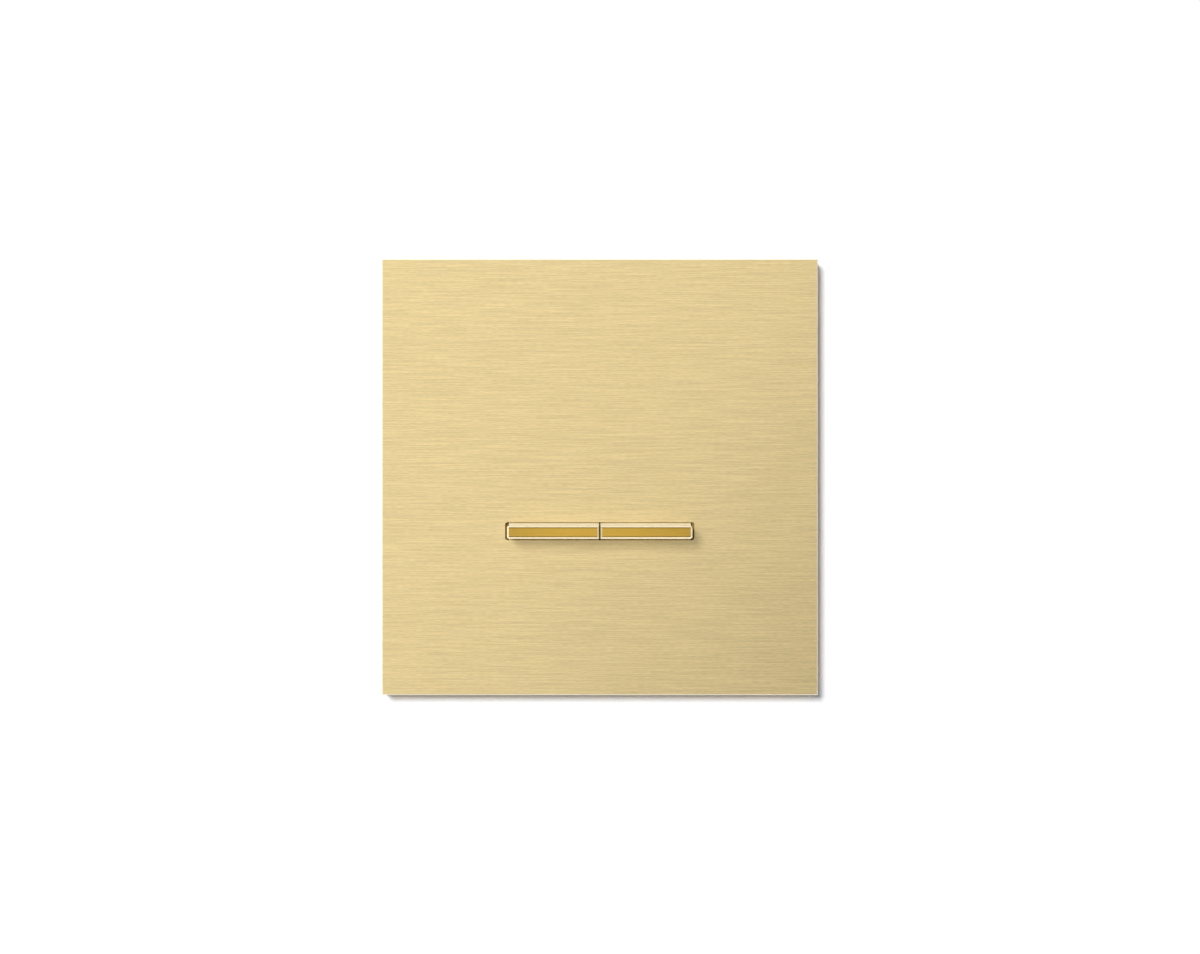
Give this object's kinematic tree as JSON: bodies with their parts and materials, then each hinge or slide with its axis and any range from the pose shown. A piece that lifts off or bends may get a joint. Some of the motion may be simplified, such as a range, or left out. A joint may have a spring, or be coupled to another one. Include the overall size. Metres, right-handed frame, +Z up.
{
  "type": "double toggle light switch",
  "caption": "Square brushed-brass switch plate with slim spring-centred bar toggles side by side in one slot, held by magnets on a steel frame over a screw-terminal mechanism.",
  "frame": {"origin": "centre of the plate, on the wall's surface, at the centre of the box-screw circle", "axes": "+X right as seen from the room, +Y into the wall, +Z up"},
  "size_m": [0.086, 0.0295, 0.086],
  "materials": {
    "plate_metal": "fine horizontal brushing",
    "lever_metal": "polished, with bright chamfers",
    "magnet_metal": "plated",
    "frame_steel": "zinc plated",
    "screw_steel": "zinc plated",
    "pin_steel": "ground",
    "spring_steel": "rolled strip",
    "base_plastic": "moulded, satin",
    "cover_plastic": "moulded, satin",
    "rocker_plastic": "moulded, satin",
    "slider_plastic": "moulded, satin",
    "contact_metal": "stamped",
    "finger_bronze": "rolled strip",
    "clamp_metal": "machined"
  },
  "bodies": {
    "housing": {"contact_common_left": "contact_metal", "contact_common_right": "contact_metal", "contact_down_left": "contact_metal", "contact_down_right": "contact_metal", "contact_up_left": "contact_metal", "contact_up_right": "contact_metal", "earth_screw": "screw_steel", "earth_terminal": "clamp_metal", "faceplate": "plate_metal", "frame_screws": "screw_steel", "mechanism_cover": "cover_plastic", "mounting_frame": "frame_steel", "pivot_pin": "pin_steel", "plate_magnets": "magnet_metal", "spring_lower_left": "spring_steel", "spring_lower_right": "spring_steel", "spring_upper_left": "spring_steel", "spring_upper_right": "spring_steel", "switch_base": "base_plastic", "terminal_clamps": "clamp_metal", "terminal_screws": "screw_steel"},
    "left_lever": {"cross_pin_left": "pin_steel", "lever_left": "lever_metal", "rocker_left": "rocker_plastic"},
    "right_lever": {"cross_pin_right": "pin_steel", "lever_right": "lever_metal", "rocker_right": "rocker_plastic"},
    "left_slider": {"slider_left": "slider_plastic", "moving_contact_left": "finger_bronze"},
    "right_slider": {"slider_right": "slider_plastic", "moving_contact_right": "finger_bronze"}
  },
  "joints": [
    {"name": "left_lever_tilt", "type": "hinge", "parent": "housing", "child": "left_lever", "pos_m": [-0.00904, -0.0015, -0.0107], "axis": [1, 0, 0], "range_deg": [-8, 8], "stiffness_Nm_per_rad": 0.1},
    {"name": "left_slider_travel", "type": "slide", "parent": "housing", "child": "left_slider", "axis": [0, 0, 1], "range_m": [-0.0019, 0.0019], "deforming": ["spring_upper_left", "spring_lower_left"]},
    {"name": "right_lever_tilt", "type": "hinge", "parent": "housing", "child": "right_lever", "pos_m": [0.00904, -0.0015, -0.0107], "axis": [1, 0, 0], "range_deg": [-8, 8], "stiffness_Nm_per_rad": 0.1},
    {"name": "right_slider_travel", "type": "slide", "parent": "housing", "child": "right_slider", "axis": [0, 0, 1], "range_m": [-0.0019, 0.0019], "deforming": ["spring_upper_right", "spring_lower_right"]}
  ],
  "couplings": [
    {"joint": "left_slider_travel", "follows": "left_lever_tilt", "m_per_rad": 0.0135},
    {"joint": "right_slider_travel", "follows": "right_lever_tilt", "m_per_rad": 0.0135}
  ]
}
